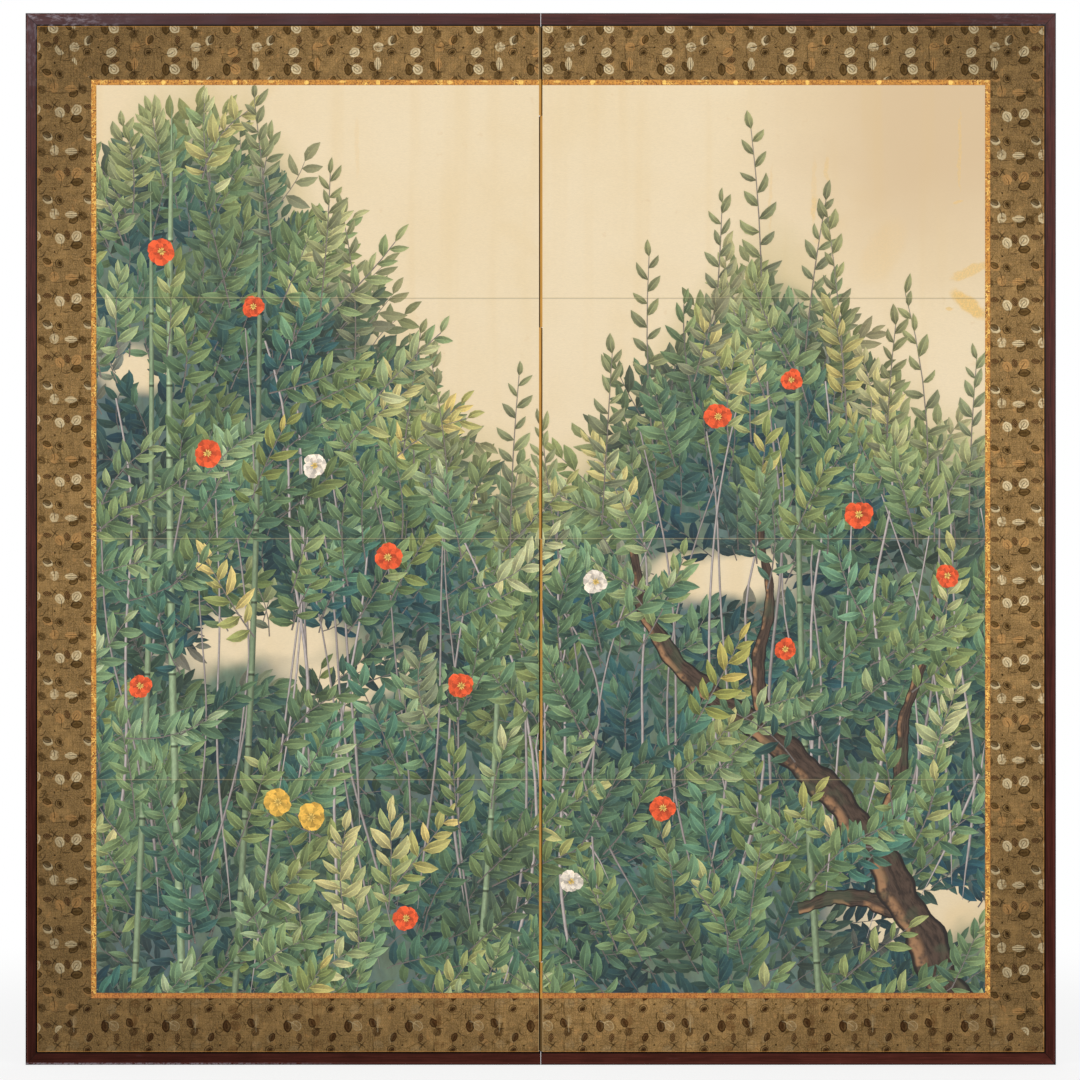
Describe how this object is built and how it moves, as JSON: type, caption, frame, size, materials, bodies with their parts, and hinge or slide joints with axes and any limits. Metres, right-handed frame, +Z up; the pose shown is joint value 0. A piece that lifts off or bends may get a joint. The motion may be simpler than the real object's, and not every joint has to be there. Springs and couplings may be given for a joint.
{
  "type": "folding screen",
  "caption": "Free-standing folding screen of lattice-cored paper panels with lacquered frames and brocade borders, joined by paper hinges that fold both ways.",
  "frame": {"origin": "on the floor under the middle of the joint between the panels, halfway through the thickness", "axes": "+X to the viewer's right along the open screen, -Y out of the painted front, +Z up"},
  "size_m": [1.685, 0.02, 1.72],
  "materials": {
    "lacquer": "satin",
    "core_wood": "matte",
    "brocade": "matte",
    "gold_border": "satin",
    "painting": "matte",
    "hinge_paper": "satin",
    "under_paper": "matte",
    "back_paper": "matte",
    "nails": "matte"
  },
  "bodies": {
    "odd_webs": {"hinge_web_1": "hinge_paper", "hinge_web_3": "hinge_paper", "hinge_web_5": "hinge_paper"},
    "left_panel": {"left_back_paper": "back_paper", "left_back_underlayer": "under_paper", "left_brocade_bottom": "brocade", "left_brocade_outer": "brocade", "left_brocade_top": "brocade", "left_core_bottom_rail": "core_wood", "left_core_inner_stile": "core_wood", "left_core_outer_stile": "core_wood", "left_core_top_rail": "core_wood", "left_edge_paper": "hinge_paper", "left_frame_bottom_rail": "lacquer", "left_frame_nails": "nails", "left_frame_outer_stile": "lacquer", "left_frame_top_rail": "lacquer", "left_front_underlayer": "under_paper", "left_gold_border_bottom": "gold_border", "left_gold_border_outer": "gold_border", "left_gold_border_top": "gold_border", "left_hinge_flaps": "hinge_paper", "left_lattice_crossbars": "core_wood", "left_lattice_uprights": "core_wood", "left_painting_sheet_1": "painting", "left_painting_sheet_2": "painting", "left_painting_sheet_3": "painting", "left_painting_sheet_4": "painting"},
    "right_panel": {"right_back_paper": "back_paper", "right_back_underlayer": "under_paper", "right_brocade_bottom": "brocade", "right_brocade_outer": "brocade", "right_brocade_top": "brocade", "right_core_bottom_rail": "core_wood", "right_core_inner_stile": "core_wood", "right_core_outer_stile": "core_wood", "right_core_top_rail": "core_wood", "right_edge_paper": "hinge_paper", "right_frame_bottom_rail": "lacquer", "right_frame_nails": "nails", "right_frame_outer_stile": "lacquer", "right_frame_top_rail": "lacquer", "right_front_underlayer": "under_paper", "right_gold_border_bottom": "gold_border", "right_gold_border_outer": "gold_border", "right_gold_border_top": "gold_border", "right_hinge_flaps": "hinge_paper", "right_lattice_crossbars": "core_wood", "right_lattice_uprights": "core_wood", "right_painting_sheet_1": "painting", "right_painting_sheet_2": "painting", "right_painting_sheet_3": "painting", "right_painting_sheet_4": "painting"},
    "even_webs": {"hinge_web_2": "hinge_paper", "hinge_web_4": "hinge_paper", "hinge_web_6": "hinge_paper"}
  },
  "joints": [
    {"name": "fold_forward", "type": "hinge", "parent": "odd_webs", "child": "left_panel", "pos_m": [0, -0.01015, 0.86], "axis": [0, 0, 1], "range_deg": [0, 180]},
    {"name": "fold_back", "type": "hinge", "parent": "odd_webs", "child": "right_panel", "pos_m": [0, 0.01015, 0.86], "axis": [0, 0, 1], "range_deg": [0, 180]},
    {"name": "even_webs_turn", "type": "hinge", "parent": "left_panel", "child": "even_webs", "pos_m": [0, 0.01015, 0.86], "axis": [0, 0, 1], "range_deg": [0, 180]}
  ],
  "couplings": [
    {"joint": "even_webs_turn", "follows": "fold_back", "ratio": 1}
  ]
}
